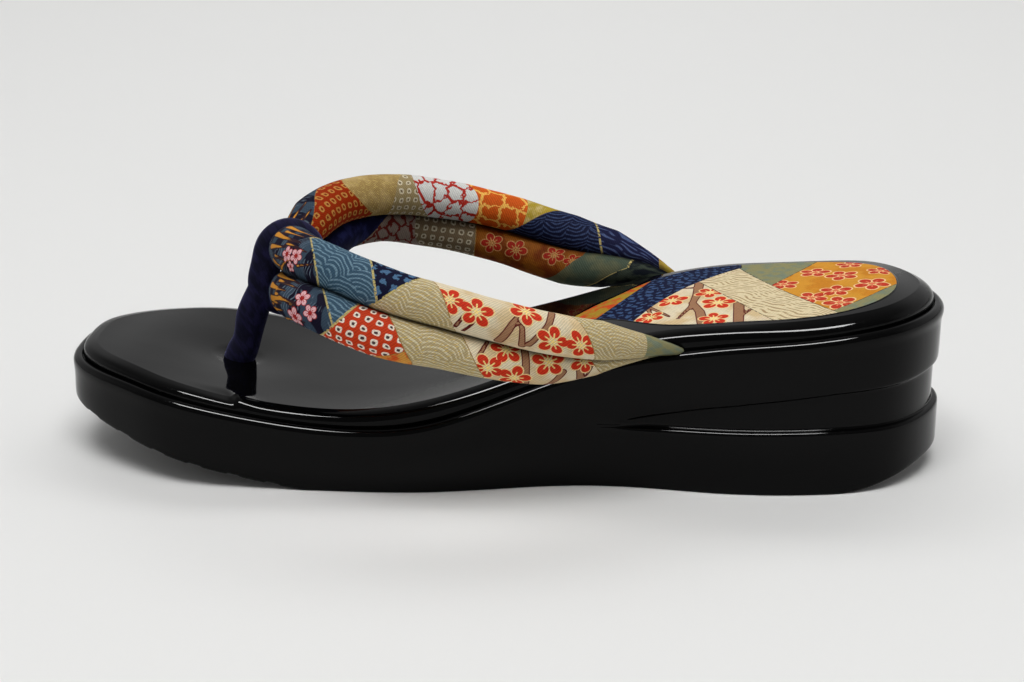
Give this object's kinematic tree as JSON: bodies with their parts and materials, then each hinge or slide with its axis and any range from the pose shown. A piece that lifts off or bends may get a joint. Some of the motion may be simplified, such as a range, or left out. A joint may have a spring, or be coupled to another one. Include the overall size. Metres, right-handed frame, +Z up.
{
  "type": "zori wedge sandal",
  "caption": "Japanese zori: glossy black wedge sandal with a stepped heel, a padded patchwork cloth thong strap and a navy toe post.",
  "frame": {"origin": "on the floor, at the middle of the sandal's length and width", "axes": "+X to the toe, +Y to the wearer's left, +Z up"},
  "size_m": [0.24, 0.1128, 0.067],
  "materials": {
    "black_enamel": "high gloss",
    "printed_cloth": "printed crepe",
    "navy_velvet": "velvet"
  },
  "bodies": {
    "root": {"sole_unit": "black_enamel", "footbed": "black_enamel", "heel_patch": "printed_cloth", "straps": "printed_cloth", "toe_post": "navy_velvet"}
  },
  "joints": []
}
